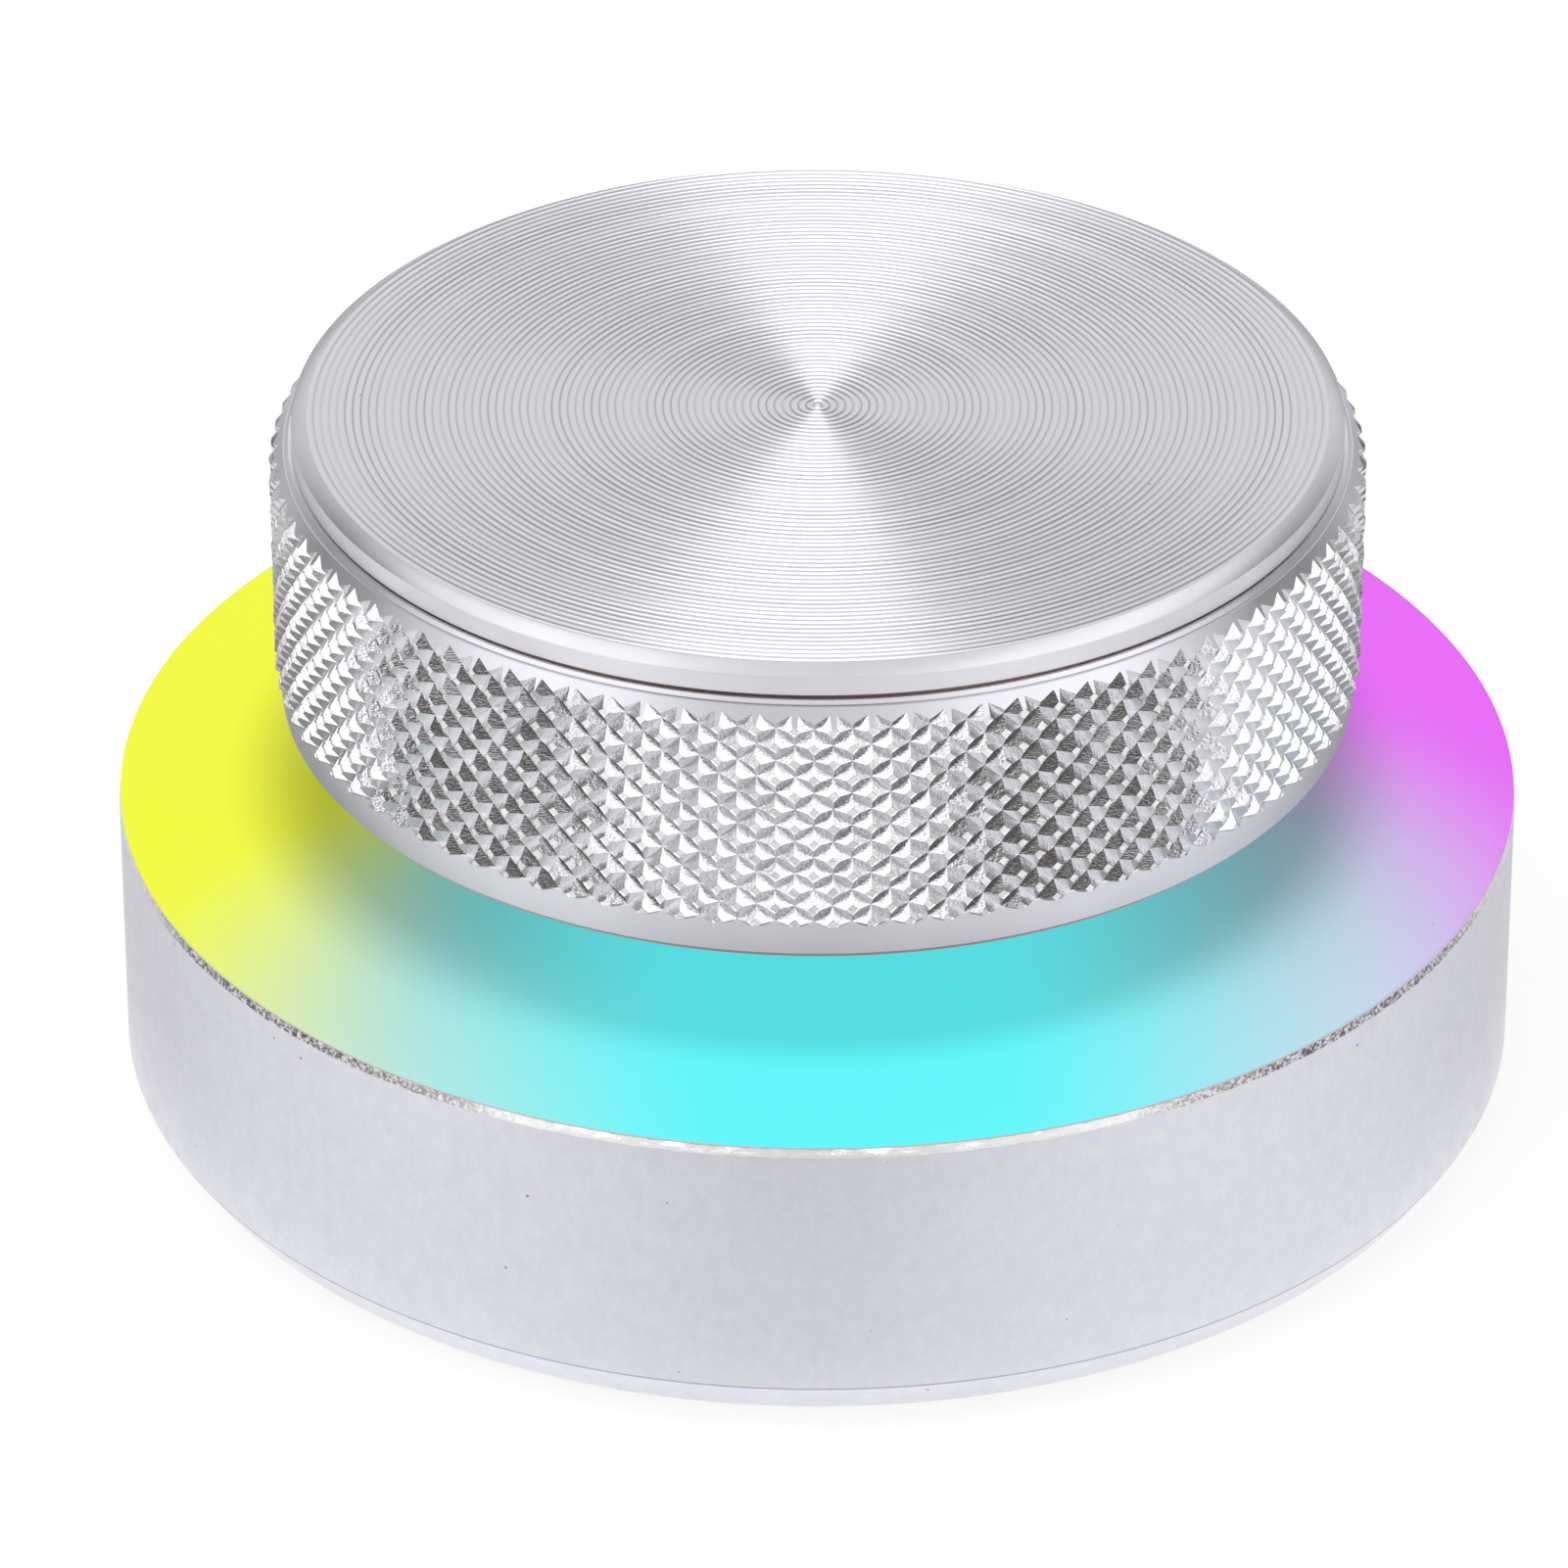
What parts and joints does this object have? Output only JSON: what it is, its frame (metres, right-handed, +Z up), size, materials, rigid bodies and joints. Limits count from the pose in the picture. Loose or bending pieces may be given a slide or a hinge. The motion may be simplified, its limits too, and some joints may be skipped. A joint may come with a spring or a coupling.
{
  "type": "usb volume control knob",
  "caption": "Knurled aluminium drum on a low round base with a lit acrylic deck; turns without end and presses down to click.",
  "frame": {"origin": "centre of the underside, on the surface it stands on", "axes": "+Z up along the axis of the drum; +Y towards the cable inlet at the back; -Y towards the user"},
  "size_m": [0.06, 0.06, 0.0318],
  "materials": {
    "base_aluminium": "bead-blasted and clear anodised, satin",
    "knurl_aluminium": "diamond knurled, clear anodised",
    "cap_aluminium": "faced on a lathe with fine concentric grooves",
    "drum_aluminium": "turned",
    "deck_acrylic": "translucent, lit from below in several colours",
    "plate_steel": "black powder coat",
    "pad_rubber": "matte anti-slip",
    "screw_steel": "zinc plated",
    "board_laminate": "green solder mask on glass laminate",
    "led_plastic": "moulded white",
    "chip_plastic": "moulded black",
    "capacitor_ceramic": "fired ceramic",
    "encoder_metal": "nickel plated",
    "spring_brass": "stamped spring sheet",
    "plunger_plastic": "moulded"
  },
  "bodies": {
    "base": {"base_shell": "base_aluminium", "light_plate": "deck_acrylic", "bottom_plate": "plate_steel", "foot_pad": "pad_rubber", "bottom_screws": "screw_steel", "circuit_board": "board_laminate", "board_screws": "screw_steel", "rgb_leds": "led_plastic", "controller_chip": "chip_plastic", "voltage_regulator": "chip_plastic", "clock_crystal": "encoder_metal", "chip_capacitors": "capacitor_ceramic", "chip_resistors": "chip_plastic", "cable_header": "led_plastic", "cable_grommet": "pad_rubber", "encoder_case": "chip_plastic", "encoder_bracket": "encoder_metal", "encoder_bushing": "encoder_metal", "encoder_pins": "encoder_metal", "detent_spring": "spring_brass", "switch_dome": "encoder_metal", "encoder_washer": "encoder_metal", "encoder_nut": "encoder_metal"},
    "press": {"switch_plunger": "plunger_plastic"},
    "knob": {"knob_shaft": "encoder_metal", "shaft_clip": "screw_steel", "shaft_insert": "chip_plastic", "knob_core": "drum_aluminium", "knurl_ring": "knurl_aluminium", "knob_cap": "cap_aluminium"},
    "rotor": {"encoder_rotor": "led_plastic"}
  },
  "joints": [
    {"name": "knob_press", "type": "slide", "parent": "base", "child": "press", "axis": [0, 0, -1], "range_m": [0, 0.0005], "stiffness_N_per_m": 3000, "springref_m": -0.0005, "deforming": ["switch_dome"]},
    {"name": "knob_turn", "type": "hinge", "parent": "press", "child": "knob", "pos_m": [0, 0, 0.02], "axis": [0, 0, 1], "continuous": true},
    {"name": "rotor_turn", "type": "hinge", "parent": "base", "child": "rotor", "pos_m": [0, 0, 0.008], "axis": [0, 0, 1], "continuous": true}
  ],
  "couplings": [
    {"joint": "rotor_turn", "follows": "knob_turn", "ratio": 1}
  ]
}
